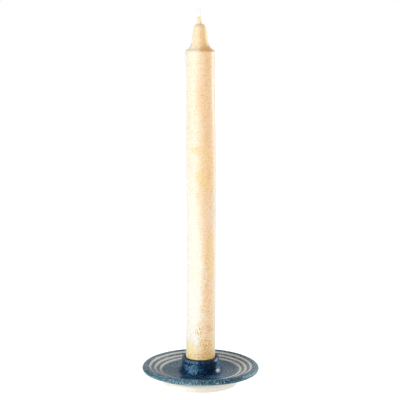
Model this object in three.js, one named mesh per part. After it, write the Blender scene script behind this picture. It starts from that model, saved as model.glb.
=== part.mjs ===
// A beeswax candle standing in the socket of a thrown and glazed stoneware saucer.
// Millimetres, +Z up. The origin is the centre of the saucer's foot, on the table.
import * as THREE from "three";

// The candle: a golden pressed core with a milled head, dipped up to its shoulder in paler wax.
const candleFootDiameter = 22.0;
const candleShoulderDiameter = 21.1;
const candleBodyLength = 240.6;
const coatThickness = 0.8;

// The milled head, from the shoulder up: a thin skirt, a hollow flare, a slim cone and a blunt crown.
// The flare and the crown are curves, each drawn towards a point that two of the sizes set. The cone
// swells a little between its ends.
const skirtOverhang = 0.1;
const skirtEdge = 0.2;
const flareHeight = 7.4;
const flareReach = 0.9;
const flareLift = 1.5;
const coneFootDiameter = 11.4;
const coneTopDiameter = 9.2;
const coneHeight = 8.6;
const coneSwell = 0.25;
const crownHeight = 2.8;
const crownFlatDiameter = 4.8;
const crownInset = 0.4;
const crownDrop = 1.0;

// The braided cotton wick, and the hard wax that stiffens the end that stands out of the head.
const wickDiameter = 2.2;
const wickEndRounding = 0.3;
const primerFootDiameter = 3.6;
const primerTopDiameter = 3.3;
const primerLength = 10.4;
const primerRounding = 0.6;
const bareWickLength = 0.8;

// The socket that holds the candle's foot. Its walls are clay, and glaze comes on top of them.
const socketClearance = 0.8;
const socketWall = 1.6;
const socketHeight = 11.0;
const socketFloorThickness = 3.0;
const socketBaseSpread = 3.5;
const socketNeckHeight = 6.6;
const socketCoveReach = 0.6;
const socketCoveLift = 1.2;
const socketLipRounding = 1.0;

// The saucer: a shallow well, a curved flank with three bare rings, a rolled rim and a turned foot.
const saucerDiameter = 87.1;
const wellThickness = 5.4;
const flankRise = 3.6;
const ringInset = 5.8;
const ringPitch = 3.95;
const ringWidth = 1.75;
const ringCrown = 0.15;
const ringCount = 3;
const rimRollWidth = 3.6;
const rimRise = 1.2;
const rimInnerReach = 0.6;
const rimOuterDrop = 2.1;
const rimUnderRounding = 1.3;
const footDiameter = 56.0;
const footHeight = 3.45;
const footDraft = 0.6;
const footRingWidth = 4.5;
const footEdge = 0.5;
const recessDepth = 3.25;

// The glaze, and the hairline left between two layers so that each stays a solid of its own.
const glazeThickness = 0.5;
const seam = 0.05;

// How finely the round pieces are cut.
const turningSides = 44;
const wickSides = 16;

// Heights and radii that follow from the sizes above.
const socketFloorZ = recessDepth + socketFloorThickness;
const wellZ = recessDepth + wellThickness;
const lipZ = wellZ + socketHeight;
const glazeAndSeam = glazeThickness + seam;
const seatZ = wellZ - glazeAndSeam;
const boreRadius = candleFootDiameter / 2 + socketClearance;
const lipRadius = boreRadius + socketWall + glazeAndSeam;
const wellRadius = lipRadius + socketBaseSpread;
const rimRadius = saucerDiameter / 2;
const crestRadius = rimRadius - rimRollWidth;
const wickBoreRadius = wickDiameter / 2 + seam;
const headLength = flareHeight + coneHeight + crownHeight;

const finish = (color, roughness) => new THREE.MeshStandardMaterial({ color, roughness, metalness: 0 });
const goldenWax = finish(0xe3b878, 0.55);
const paleWax = finish(0xf3e0bd, 0.6);
const primerWax = finish(0xf0dfa0, 0.45);
const cotton = finish(0xe9e4d6, 0.95);
const bareClay = finish(0xd9d0bb, 0.85);
const blueGlaze = finish(0x2b516b, 0.3);

const at = (radius, height) => new THREE.Vector2(radius, height);

// Points of a quadratic curve after its first point, so that curves can follow one another.
function curve(from, control, to, steps) {
  return new THREE.QuadraticBezierCurve(from, control, to).getPoints(steps).slice(1);
}

// A quarter of an ellipse between two corners of its box, after its first point.
// It leaves its first point upright or level, as `uprightFirst` says.
function quarter(from, to, uprightFirst, steps) {
  const points = [];
  for (let i = 1; i <= steps; i++) {
    const angle = (Math.PI / 2) * (i / steps);
    const early = Math.sin(angle);
    const late = 1 - Math.cos(angle);
    points.push(at(
      from.x + (to.x - from.x) * (uprightFirst ? late : early),
      from.y + (to.y - from.y) * (uprightFirst ? early : late),
    ));
  }
  return points;
}

// The same line, moved by `distance` towards the side on its left.
function inset(points, distance) {
  return points.map((point, i) => {
    const along = points[Math.min(i + 1, points.length - 1)].clone();
    along.sub(points[Math.max(i - 1, 0)]).normalize();
    return at(point.x - along.y * distance, point.y + along.x * distance);
  });
}

// The same line, moved straight down by `distance`.
const lower = (points, distance) => points.map((point) => at(point.x, point.y - distance));

// A closed outline between a visible line and the line under it.
const layer = (line, under) => [...line, ...under.reverse(), line[0]];

// A round piece about the Z axis, from an outline of (radius, height) that runs anticlockwise.
function turn(name, outline, material, sides = turningSides) {
  const geometry = new THREE.LatheGeometry(outline, sides);
  geometry.rotateX(Math.PI / 2);
  const mesh = new THREE.Mesh(geometry, material);
  mesh.name = name;
  return mesh;
}

// The rings stand on the flank, the outermost of them next to the rolled rim.
const ringRadius = (index) => rimRadius - ringInset - ringPitch * index;

// Height of the visible flank, which rises as a parabola from the well to the outermost ring.
function flankZ(radius) {
  const share = (radius - wellRadius) / (ringRadius(0) - wellRadius);
  return wellZ + flankRise * share * share;
}

const crestZ = flankZ(ringRadius(0)) + rimRise;

// The visible flank from one radius inwards to another.
function flankLine(outerRadius, innerRadius, steps) {
  const points = [];
  for (let i = 0; i <= steps; i++) {
    const radius = outerRadius + (innerRadius - outerRadius) * (i / steps);
    points.push(at(radius, flankZ(radius)));
  }
  return points;
}

// The glazed flank between ring `index` and the next ring in, or the socket after the last one.
function bandLine(index) {
  const outerRadius = ringRadius(index) - ringWidth / 2 - seam;
  if (index === ringCount - 1) return flankLine(outerRadius, wellRadius, 4);
  return flankLine(outerRadius, ringRadius(index + 1) + ringWidth / 2 + seam, 2);
}

// The visible rolled rim, from the glaze's edge underneath, round the outside and down to the first ring.
function rimLine() {
  const under = at(rimRadius - rimUnderRounding, crestZ - rimOuterDrop - rimUnderRounding);
  const widest = at(rimRadius, crestZ - rimOuterDrop);
  const crest = at(crestRadius, crestZ);
  const ringEdge = ringRadius(0) + ringWidth / 2 + seam;
  const inner = at(ringEdge, flankZ(ringEdge));
  const shoulder = at(ringEdge + rimInnerReach, crestZ);
  return [
    under,
    ...quarter(under, widest, false, 3),
    ...quarter(widest, crest, true, 5),
    ...curve(crest, shoulder, inner, 3),
  ];
}

// The line under the rolled rim's surface at a given depth. It ends straight below the ring's edge.
function underRim(depth) {
  const line = rimLine();
  return [...inset(line.slice(0, -1), depth), ...lower(line.slice(-1), depth)];
}

// The visible socket, from the well up its spread base and wall and over its lip to the bore.
function socketLine() {
  const base = at(wellRadius, wellZ);
  const neck = at(lipRadius, wellZ + socketNeckHeight);
  const wallTop = at(lipRadius, lipZ - socketLipRounding);
  const lipTop = at(lipRadius - socketLipRounding, lipZ);
  return [
    base,
    ...curve(base, at(lipRadius + socketCoveReach, wellZ + socketCoveLift), neck, 5),
    wallTop,
    ...quarter(wallTop, lipTop, true, 3),
    at(boreRadius + seam, lipZ),
  ];
}

// A bare ring of clay: a low ridge that stands through the glaze.
function ringRidge(index) {
  const outer = ringRadius(index) + ringWidth / 2;
  const inner = ringRadius(index) - ringWidth / 2;
  return [
    at(outer, flankZ(outer)),
    at(ringRadius(index), flankZ(ringRadius(index)) + ringCrown),
    at(inner, flankZ(inner)),
  ];
}

// The thrown saucer in one piece, with its foot turned out of the same clay.
function makeSaucer() {
  const footRadius = footDiameter / 2;
  const footInnerRadius = footRadius - footRingWidth;
  const outline = [
    at(0, recessDepth),
    at(footInnerRadius - footDraft, recessDepth),
    at(footInnerRadius, 0),
    at(footRadius - footEdge, 0),
    at(footRadius, footEdge),
    at(footRadius + footDraft, footHeight),
    ...underRim(glazeAndSeam),
  ];
  for (let index = 0; index < ringCount; index++) {
    const ridge = ringRidge(index);
    const before = outline[outline.length - 1];
    const after = lower(bandLine(index), glazeAndSeam);
    outline.push(at(ridge[0].x, before.y), ...ridge, at(ridge[2].x, after[0].y), ...after.slice(1));
  }
  outline.push(
    at(wellRadius, seatZ),
    at(boreRadius, seatZ),
    at(boreRadius, socketFloorZ),
    at(0, socketFloorZ),
  );
  return turn("saucer", outline, bareClay);
}

// The socket, thrown by itself and luted to the middle of the well.
function makeSocket() {
  const wall = inset(socketLine(), glazeAndSeam);
  const top = wall[wall.length - 1];
  const outline = [
    at(boreRadius, seatZ),
    at(wellRadius - glazeAndSeam, seatZ),
    ...wall.slice(1, -1),
    at(boreRadius, top.y),
    at(boreRadius, seatZ),
  ];
  return turn("candle_socket", outline, bareClay);
}

// The glaze lies in four coats, parted by the bare rings. The innermost one also covers the socket.
function makeGlazes() {
  const names = ["outer_band_glaze", "inner_band_glaze", "well_and_socket_glaze"];
  const coats = [turn("rim_glaze", layer(rimLine(), underRim(glazeThickness)), blueGlaze)];
  for (let index = 0; index < ringCount; index++) {
    const line = bandLine(index);
    const under = lower(line, glazeThickness);
    if (index === ringCount - 1) {
      under.push(...inset(socketLine(), glazeThickness).slice(1));
      line.push(...socketLine().slice(1));
    }
    coats.push(turn(names[index], layer(line, under), blueGlaze));
  }
  return coats;
}

// The core, bored for the wick, with the head milled on its upper end.
function makeCore() {
  const footRadius = candleFootDiameter / 2 - coatThickness - seam;
  const shoulderRadius = candleShoulderDiameter / 2 - coatThickness - seam;
  const skirtRadius = candleShoulderDiameter / 2 + skirtOverhang;
  const skirt = at(skirtRadius, candleBodyLength);
  const coneFoot = at(coneFootDiameter / 2, candleBodyLength + flareHeight);
  const coneTop = at(coneTopDiameter / 2, coneFoot.y + coneHeight);
  const coneMiddle = at((coneFoot.x + coneTop.x) / 2 + coneSwell, (coneFoot.y + coneTop.y) / 2);
  const crown = at(crownFlatDiameter / 2, candleBodyLength + headLength);
  const outline = [
    at(wickBoreRadius, 0),
    at(footRadius, 0),
    at(shoulderRadius, candleBodyLength - skirtEdge),
    at(skirtRadius, candleBodyLength - skirtEdge),
    skirt,
    ...curve(skirt, at(coneFoot.x + flareReach, skirt.y + flareLift), coneFoot, 7),
    ...curve(coneFoot, coneMiddle, coneTop, 3),
    ...curve(coneTop, at(coneTop.x - crownInset, crown.y - crownDrop), crown, 4),
    at(wickBoreRadius, crown.y),
    at(wickBoreRadius, 0),
  ];
  return turn("wax_core", outline, goldenWax);
}

// The paler coat that the core was dipped in, up to the underside of the head's skirt.
function makeCoat() {
  const footRadius = candleFootDiameter / 2;
  const shoulderRadius = candleShoulderDiameter / 2;
  const top = candleBodyLength - skirtEdge - seam;
  const outline = [
    at(footRadius - coatThickness, 0),
    at(footRadius, 0),
    at(shoulderRadius, top),
    at(shoulderRadius - coatThickness, top),
    at(footRadius - coatThickness, 0),
  ];
  return turn("wax_coat", outline, paleWax);
}

// The wick, which runs the whole length of the core and stands out of the head.
function makeWick() {
  const radius = wickDiameter / 2;
  const tip = candleBodyLength + headLength + primerLength + bareWickLength;
  const outline = [
    at(0, 0),
    at(radius, 0),
    at(radius, tip - wickEndRounding),
    at(radius - wickEndRounding, tip),
    at(0, tip),
  ];
  return turn("wick", outline, cotton, wickSides);
}

// The hard wax round the standing end of the wick.
function makePrimer() {
  const top = primerTopDiameter / 2;
  const outline = [
    at(wickBoreRadius, 0),
    at(primerFootDiameter / 2, 0),
    at(top, primerLength - primerRounding),
    ...quarter(at(top, primerLength - primerRounding), at(wickBoreRadius, primerLength), true, 3),
    at(wickBoreRadius, 0),
  ];
  const primer = turn("wick_primer", outline, primerWax, wickSides);
  primer.position.z = candleBodyLength + headLength;
  return primer;
}

const holder = new THREE.Group();
holder.add(makeSaucer(), makeSocket(), ...makeGlazes());

const candle = new THREE.Group();
candle.add(makeCore(), makeCoat(), makeWick(), makePrimer());
candle.position.z = socketFloorZ;

const candleInHolder = new THREE.Group();
candleInHolder.add(holder, candle);

export default candleInHolder;
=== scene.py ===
# A beeswax candle in a glazed stoneware saucer, in metres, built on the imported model.
import math

import bpy
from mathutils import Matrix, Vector, noise


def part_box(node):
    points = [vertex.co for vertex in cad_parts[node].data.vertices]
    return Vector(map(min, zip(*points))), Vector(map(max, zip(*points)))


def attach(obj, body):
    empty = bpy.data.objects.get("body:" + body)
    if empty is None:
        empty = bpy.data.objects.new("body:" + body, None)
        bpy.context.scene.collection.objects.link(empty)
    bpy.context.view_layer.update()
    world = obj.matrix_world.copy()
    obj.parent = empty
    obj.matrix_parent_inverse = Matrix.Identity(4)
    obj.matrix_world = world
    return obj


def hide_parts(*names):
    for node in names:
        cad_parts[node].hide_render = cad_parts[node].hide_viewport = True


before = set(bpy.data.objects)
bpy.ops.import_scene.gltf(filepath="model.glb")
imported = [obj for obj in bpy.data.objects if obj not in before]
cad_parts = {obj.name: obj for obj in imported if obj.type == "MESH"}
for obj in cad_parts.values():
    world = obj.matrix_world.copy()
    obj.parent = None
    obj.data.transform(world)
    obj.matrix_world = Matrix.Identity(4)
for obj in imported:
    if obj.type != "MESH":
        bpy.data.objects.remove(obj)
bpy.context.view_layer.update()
MM = 0.001

# The camera stands in front of the candle and a little above it, with a long lens.
# Its height was read from the ellipses of the saucer, and its distance from the candle's taper.
CAMERA_DISTANCE = 850 * MM
CAMERA_HEIGHT = 270.25 * MM
CAMERA_ASIDE = -0.37 * MM
CAMERA_TILT_DOWN = math.radians(8.85)
SENSOR_WIDTH_MM = 36.0
LENS_MM = 105.5

camera_data = bpy.data.cameras.new("camera")
camera_data.sensor_width = SENSOR_WIDTH_MM
camera_data.lens = LENS_MM
camera = bpy.data.objects.new("camera", camera_data)
camera.location = (CAMERA_ASIDE, -CAMERA_DISTANCE, CAMERA_HEIGHT)
camera.rotation_euler = (math.pi / 2 - CAMERA_TILT_DOWN, 0, 0)
bpy.context.scene.collection.objects.link(camera)
bpy.context.scene.camera = camera


# The saucer is thrown from pale stoneware, with a shallow well, a curved flank and a rolled rim.
# Its foot ring is turned when the clay is leather hard. The foot, the underside and three low rings
# on the flank stay bare of glaze, so that the cream clay shows.
RIM_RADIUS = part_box("rim_glaze")[1].x
CREST_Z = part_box("rim_glaze")[1].z
LIP_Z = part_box("well_and_socket_glaze")[1].z
SOCKET_FLOOR_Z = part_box("wax_coat")[0].z
CANDLE_FOOT_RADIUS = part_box("wax_coat")[1].x
GLAZE_THICKNESS = 0.5 * MM
SEAM = 0.05 * MM
CLAY_DEPTH = GLAZE_THICKNESS + SEAM
BORE_RADIUS = CANDLE_FOOT_RADIUS + 0.8 * MM
WELL_Z = 8.65 * MM
WELL_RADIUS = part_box("candle_socket")[1].x + CLAY_DEPTH
RECESS_Z = 3.25 * MM
RECESS_FILLET = 1.6 * MM
RECESS_DRAFT = 0.3 * MM
RECESS_WALL_Z = 1.85 * MM
FOOT_RADIUS = 28.0 * MM
FOOT_INNER_RADIUS = 23.5 * MM
FOOT_HEIGHT = 3.45 * MM
FOOT_DRAFT = 0.6 * MM
FOOT_EDGE = 0.6 * MM
FOOT_INNER_EDGE = 0.4 * MM
UNDERSIDE_BEND = (FOOT_RADIUS + 4.5 * MM, FOOT_HEIGHT + 2.0 * MM)
RING_PITCH = 3.95 * MM
RING_WIDTH = 1.75 * MM
RING_CROWN = 0.15 * MM
RING_STEPS = 6
FIRST_RING_RADIUS = RIM_RADIUS - 5.8 * MM
RING_RADII = [FIRST_RING_RADIUS - RING_PITCH * i for i in range(3)]
FLANK_RISE = 3.6 * MM
RIM_ROLL_WIDTH = 3.6 * MM
RIM_OUTER_DROP = 2.1 * MM
RIM_UNDER_ROUNDING = 1.3 * MM
RIM_INNER_REACH = 0.6 * MM
WHEEL_STEPS = 192
SHARP_ANGLE = math.radians(40)
UNMOVED = Vector((0, 0, 0))
CLAY_CREAM = (0.95, 0.92, 0.84, 1)
CLAY_TAN = (0.66, 0.55, 0.38, 1)
CLAY_STAINED = (0.60, 0.590, 0.54, 1)
# The next colour is painted light.
CLAY_PAINTED_LIGHT = (0.99, 0.985, 0.94, 1)
# The next colour is painted shade.
CLAY_PAINTED_SHADE = (0.040, 0.042, 0.026, 1)
TURNING_PITCH = 0.9 * MM

# How uneven and how sharp the flecks of a pattern are, and where in its reach a spot fades out.
FLECK_WARP = 0.6 * MM
FLECK_EDGE = 9.0
SPOT_CORE = 0.55
SPOT_EDGE = 1.2


def ease(value, low, high):
    """0 below low, 1 above high, and a smooth step between them."""
    share = min(max((value - low) / (high - low), 0), 1)
    return share * share * (3 - 2 * share)


def from_axis(point):
    """A point's distance from the candle's axis, and the level direction away from the axis."""
    radius = math.hypot(point.x, point.y)
    if radius == 0:
        return radius, UNMOVED
    return radius, Vector((point.x / radius, point.y / radius, 0))


def straight(start, end, steps):
    """Points of a straight line, its start among them."""
    return [
        tuple(start[k] + (end[k] - start[k]) * i / steps for k in (0, 1))
        for i in range(steps + 1)
    ]


def curve(start, pull, end, steps):
    """Points of a quadratic curve after its start."""
    points = []
    for i in range(1, steps + 1):
        t = i / steps
        points.append(tuple(
            (1 - t) ** 2 * start[k] + 2 * t * (1 - t) * pull[k] + t * t * end[k] for k in (0, 1)
        ))
    return points


def quarter(start, end, upright_first, steps):
    """A quarter of an ellipse after its start, which it leaves upright or level."""
    points = []
    for i in range(1, steps + 1):
        angle = math.pi / 2 * i / steps
        early, late = math.sin(angle), 1 - math.cos(angle)
        across, up = (late, early) if upright_first else (early, late)
        points.append((start[0] + (end[0] - start[0]) * across, start[1] + (end[1] - start[1]) * up))
    return points


def inset(line, distance):
    """The same line, moved towards the side on its left."""
    moved = []
    for i, (radius, height) in enumerate(line):
        before, after = line[max(i - 1, 0)], line[min(i + 1, len(line) - 1)]
        along = Vector((after[0] - before[0], after[1] - before[1])).normalized()
        moved.append((radius - along.y * distance, height + along.x * distance))
    return moved


def lower(line, distance):
    """The same line, moved straight down."""
    return [(radius, height - distance) for radius, height in line]


def flank_z(radius):
    """Height of the visible flank, a parabola from the well to the outermost ring."""
    share = (radius - WELL_RADIUS) / (FIRST_RING_RADIUS - WELL_RADIUS)
    return WELL_Z + FLANK_RISE * share * share


def flank_line(outer_radius, inner_radius, steps):
    """The visible flank from one radius inwards to another."""
    radii = [outer_radius + (inner_radius - outer_radius) * i / steps for i in range(steps + 1)]
    return [(radius, flank_z(radius)) for radius in radii]


def band_line(index):
    """The glazed flank inside ring number index, as far as the next ring or the socket."""
    outer_radius = RING_RADII[index] - RING_WIDTH / 2 - SEAM
    if index == len(RING_RADII) - 1:
        return flank_line(outer_radius, WELL_RADIUS, 20)
    return flank_line(outer_radius, RING_RADII[index + 1] + RING_WIDTH / 2 + SEAM, 8)


def rim_line():
    """The visible rim: from the glaze's lower edge, round the outside and down to the first ring."""
    under = (RIM_RADIUS - RIM_UNDER_ROUNDING, CREST_Z - RIM_OUTER_DROP - RIM_UNDER_ROUNDING)
    widest = (RIM_RADIUS, CREST_Z - RIM_OUTER_DROP)
    crest = (RIM_RADIUS - RIM_ROLL_WIDTH, CREST_Z)
    ring_edge = FIRST_RING_RADIUS + RING_WIDTH / 2 + SEAM
    return [
        under,
        *quarter(under, widest, False, 8),
        *quarter(widest, crest, True, 14),
        *curve(crest, (ring_edge + RIM_INNER_REACH, CREST_Z), (ring_edge, flank_z(ring_edge)), 8),
    ]


def select_only(piece):
    """Makes a piece the one that the next operators act on."""
    bpy.ops.object.select_all(action="DESELECT")
    piece.select_set(True)
    bpy.context.view_layer.objects.active = piece


def throw(name, outline, sides=WHEEL_STEPS):
    """A round form, drawn ring by ring through an outline of (radius, height), as on a wheel.
    An outline that comes back to its start makes a hollow form. Any other is closed by two discs."""
    bpy.ops.object.select_all(action="DESELECT")
    radius, height = outline[0]
    hollow = outline[0] == outline[-1]
    bpy.ops.mesh.primitive_circle_add(
        vertices=sides, radius=radius, location=(0, 0, height), fill_type="NOTHING" if hollow else "TRIFAN"
    )
    piece = bpy.context.object
    piece.name = name
    bpy.ops.object.transform_apply(location=True)
    bpy.ops.object.mode_set(mode="EDIT")
    bpy.ops.mesh.select_mode(type="EDGE")
    bpy.ops.mesh.select_all(action="SELECT")
    if not hollow:
        bpy.ops.mesh.region_to_loop()
    for next_radius, next_height in outline[1:]:
        bpy.ops.mesh.extrude_region_move(TRANSFORM_OT_translate={"value": (0, 0, next_height - height)})
        growth = next_radius / radius
        bpy.ops.transform.resize(value=(growth, growth, 1), center_override=(0, 0, 0))
        radius, height = next_radius, next_height
    if not hollow:
        bpy.ops.mesh.extrude_region_move(TRANSFORM_OT_translate={"value": (0, 0, 0)})
        bpy.ops.mesh.merge(type="CENTER")
    bpy.ops.mesh.select_all(action="SELECT")
    bpy.ops.mesh.remove_doubles(threshold=0.001 * MM)
    bpy.ops.mesh.normals_make_consistent(inside=False)
    bpy.ops.object.mode_set(mode="OBJECT")
    return piece


def finish(piece, shapings, material, body, node):
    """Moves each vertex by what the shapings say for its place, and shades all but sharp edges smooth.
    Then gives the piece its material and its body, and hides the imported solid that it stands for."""
    for shaping in shapings:
        for vertex in piece.data.vertices:
            vertex.co += shaping(vertex.co)
    select_only(piece)
    bpy.ops.object.shade_smooth_by_angle(angle=SHARP_ANGLE)
    piece.data.materials.clear()
    piece.data.materials.append(material)
    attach(piece, body)
    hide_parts(node)


# How far the rim leans, waves, twists, droops and runs out of round, how far the bare rings wander,
# and how high the lip of the socket waves.
RIM_LEAN = -0.005
RIM_WAVE = 0.25 * MM
RIM_WAVE_TURN = -1.2
RIM_TWIST = -0.006
RIM_DROOP = 0.28 * MM
RIM_OVAL = 0.12 * MM
RING_WANDER = 0.14 * MM
LIP_WAVE = 0.14 * MM


def hand_of_the_thrower(point):
    """How far the thrower's hand left the clay, and the glaze on it, from a true round.
    The foot and the bore of the socket stay true."""
    radius, outward = from_axis(point)
    if radius < BORE_RADIUS + 0.1 * MM:
        return UNMOVED
    turn = math.atan2(point.y, point.x)
    above_foot = ease(point.z, 0.5 * MM, FOOT_HEIGHT + 1.5 * MM)
    to_rim = ease(radius, WELL_RADIUS, RIM_RADIUS) * above_foot
    lift = RIM_LEAN * point.x + RIM_WAVE * math.sin(2 * turn + RIM_WAVE_TURN)
    lift += RIM_TWIST * point.x * ease(point.y, 0, 25 * MM)
    under_roll = ease(radius, FIRST_RING_RADIUS + 2.4 * MM, RIM_RADIUS - 2.0 * MM)
    under_roll *= 1 - ease(point.z, CREST_Z - 2.6 * MM, CREST_Z - 0.6 * MM)
    lift -= RIM_DROOP * under_roll * (0.5 - 0.5 * math.cos(4 * turn)) * ease(-point.y, 0, 15 * MM)
    swell = RIM_OVAL * math.cos(2 * turn - 0.4)
    on_rings = ease(radius, RING_RADII[2] - 3 * MM, RING_RADII[2]) * above_foot
    on_rings *= 1 - ease(radius, FIRST_RING_RADIUS + 1.2 * MM, FIRST_RING_RADIUS + 2.4 * MM)
    wander = noise.noise(Vector((outward.x * 4, outward.y * 4, radius / (2.2 * MM))))
    on_lip = ease(point.z, WELL_Z + 3 * MM, LIP_Z) * (1 - ease(radius, WELL_RADIUS, WELL_RADIUS + MM))
    lip = LIP_WAVE * math.sin(2 * turn + 2.1) + 0.5 * LIP_WAVE * math.sin(3 * turn)
    sideways = swell * to_rim + RING_WANDER * wander * on_rings + 0.5 * lip * on_lip
    return outward * sideways + Vector((0, 0, lift * to_rim + lip * on_lip))


def saucer_outline():
    """The saucer's clay, from the middle of its underside round to the middle of the socket's floor."""
    rim = rim_line()
    under_rim = [*inset(rim[:-1], CLAY_DEPTH), *lower(rim[-1:], CLAY_DEPTH)]
    recess_edge = (FOOT_INNER_RADIUS - RECESS_FILLET, RECESS_Z)
    recess_corner = (FOOT_INNER_RADIUS - 0.7 * MM, RECESS_Z)
    recess_wall = (FOOT_INNER_RADIUS - RECESS_DRAFT, RECESS_WALL_Z)
    inner_edge = (FOOT_INNER_RADIUS, FOOT_INNER_EDGE)
    outer_edge = (FOOT_RADIUS - FOOT_EDGE, 0)
    wall_top = (FOOT_RADIUS + FOOT_DRAFT, FOOT_HEIGHT)
    near_foot = (FOOT_RADIUS + 1.8 * MM, FOOT_HEIGHT + 0.7 * MM)
    near_rim = (FOOT_RADIUS + 9.5 * MM, FOOT_HEIGHT + 4.2 * MM)
    outline = [
        *[(MM * radius, RECESS_Z) for radius in range(3, 22, 3)],
        recess_edge,
        *curve(recess_edge, recess_corner, recess_wall, 4),
        inner_edge,
        *quarter(inner_edge, (FOOT_INNER_RADIUS + FOOT_INNER_EDGE, 0), True, 3),
        outer_edge,
        *quarter(outer_edge, (FOOT_RADIUS, FOOT_EDGE), False, 4),
        (FOOT_RADIUS + FOOT_DRAFT / 2, FOOT_HEIGHT / 2),
        wall_top,
        *curve(wall_top, near_foot, UNDERSIDE_BEND, 5),
        *curve(UNDERSIDE_BEND, near_rim, under_rim[0], 8),
        *under_rim[1:],
    ]
    for index, middle in enumerate(RING_RADII):
        after = lower(band_line(index), CLAY_DEPTH)
        outer, inner = middle + RING_WIDTH / 2, middle - RING_WIDTH / 2
        crown = [
            (radius, height + RING_CROWN * math.sin(math.pi * i / RING_STEPS))
            for i, (radius, height) in enumerate(flank_line(outer, inner, RING_STEPS))
        ]
        outline += [(outer, outline[-1][1]), *crown, (inner, after[0][1]), *after[1:]]
    seat_z = WELL_Z - CLAY_DEPTH
    outline += [(WELL_RADIUS, seat_z), (BORE_RADIUS, seat_z), (BORE_RADIUS, SOCKET_FLOOR_Z)]
    return [*outline, *[(MM * radius, SOCKET_FLOOR_Z) for radius in (9, 6, 3)]]


class Recipe:
    """The nodes of one material or node group, put together step by step.
    A step takes numbers, colours or other steps' outputs, and gives its own output."""

    def __init__(self, tree):
        self.nodes = tree.nodes
        self.links = tree.links

    def feed(self, socket, value):
        """Gives an input a number, a colour or another step's output."""
        if isinstance(value, bpy.types.NodeSocket):
            self.links.new(value, socket)
        else:
            socket.default_value = value

    def node(self, kind, *values, **settings):
        """A shader node with its settings, and with values for its first inputs."""
        node = self.nodes.new("ShaderNode" + kind)
        for name, setting in settings.items():
            setattr(node, name, setting)
        for socket, value in zip(node.inputs, values):
            self.feed(socket, value)
        return node

    def noise(self, vector, scale, detail=2.0, roughness=0.5):
        """A noise of 0 to 1."""
        texture = self.node("TexNoise")
        values = {"Vector": vector, "Scale": scale, "Detail": detail, "Roughness": roughness}
        for title, value in values.items():
            self.feed(texture.inputs[title], value)
        return texture.outputs["Fac"]

    def math(self, operation, first, second=0.5, clamp=False):
        """One operation of the Math node."""
        return self.node("Math", first, second, operation=operation, use_clamp=clamp).outputs[0]

    def join(self, operation, values):
        """Values joined one after another by the same operation."""
        joined = values[0]
        for value in values[1:]:
            joined = self.math(operation, joined, value)
        return joined

    def plus(self, *values):
        return self.join("ADD", values)

    def minus(self, first, second):
        return self.math("SUBTRACT", first, second)

    def times(self, *values):
        return self.join("MULTIPLY", values)

    def highest(self, *values):
        return self.join("MAXIMUM", values)

    def ramp(self, value, low, high, to_low=0.0, to_high=1.0):
        """A smooth ramp, which is to_low up to low and to_high from high on."""
        ramp = self.node("MapRange", value, low, high, to_low, to_high, interpolation_type="SMOOTHSTEP")
        return ramp.outputs["Result"]

    def fade(self, value, low, high, to_low=0.0, to_high=1.0):
        """The same ramp, between two places in millimetres."""
        return self.ramp(value, low * MM, high * MM, to_low, to_high)

    def mix(self, factor, first, second, blend="MIX"):
        """Two colours, mixed by a factor."""
        node = self.node("Mix", factor, data_type="RGBA", blend_type=blend)
        self.feed(node.inputs[6], first)
        self.feed(node.inputs[7], second)
        return node.outputs[2]

    def toned(self, colour, tone):
        """A colour made lighter or darker by a tone round 1."""
        grey = self.node("CombineColor", tone, tone, tone).outputs[0]
        return self.mix(1.0, colour, grey, "MULTIPLY")


def new_group(name, output, inputs):
    """An empty node group with a Vector and named numbers as inputs, and one number as its output.
    Returns the group, its recipe, its given values and the input that takes its result."""
    group = bpy.data.node_groups.new(name, "ShaderNodeTree")
    group.interface.new_socket(name="Vector", in_out="INPUT", socket_type="NodeSocketVector")
    for title, default in inputs.items():
        socket = group.interface.new_socket(name=title, in_out="INPUT", socket_type="NodeSocketFloat")
        socket.default_value = default
    group.interface.new_socket(name=output, in_out="OUTPUT", socket_type="NodeSocketFloat")
    given = group.nodes.new("NodeGroupInput").outputs
    result = group.nodes.new("NodeGroupOutput").inputs[0]
    return group, Recipe(group), given, result


def make_mottle_group():
    """Soft patches: two noises of unlike size, drawn apart by Contrast round a Level."""
    inputs = {"Patch Scale": 60, "Grain Scale": 400, "Grain Share": 0.3, "Level": 0.5, "Contrast": 4}
    group, recipe, given, result = new_group("soft_mottle", "Mask", inputs)
    patch = recipe.minus(recipe.noise(given["Vector"], given["Patch Scale"], 3.0, 0.55), given["Level"])
    grain = recipe.minus(recipe.noise(given["Vector"], given["Grain Scale"]), 0.5)
    both = recipe.plus(patch, recipe.times(grain, given["Grain Share"]))
    recipe.feed(result, recipe.math("ADD", recipe.times(both, given["Contrast"]), 0.5, clamp=True))
    return group


def make_fleck_group():
    """Small separate flecks with soft, slightly uneven edges. Size is a share of their spacing,
    and Share is how many of them are kept."""
    inputs = {"Fleck Scale": 900.0, "Size": 0.3, "Share": 0.5}
    group, recipe, given, result = new_group("small_flecks", "Mask", inputs)
    warp = recipe.noise(given["Vector"], 700.0, 1.0).node.outputs["Color"]
    depth = (FLECK_WARP, FLECK_WARP, FLECK_WARP)
    warped = recipe.node("VectorMath", warp, depth, given["Vector"], operation="MULTIPLY_ADD").outputs[0]
    cells = recipe.node("TexVoronoi", warped)
    recipe.feed(cells.inputs["Scale"], given["Fleck Scale"])
    from_edge = recipe.minus(given["Size"], cells.outputs["Distance"])
    dots = recipe.math("MULTIPLY", from_edge, FLECK_EDGE, clamp=True)
    lot = recipe.node("SeparateColor", cells.outputs["Color"]).outputs["Red"]
    recipe.feed(result, recipe.times(dots, recipe.math("LESS_THAN", lot, given["Share"])))
    return group


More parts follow.
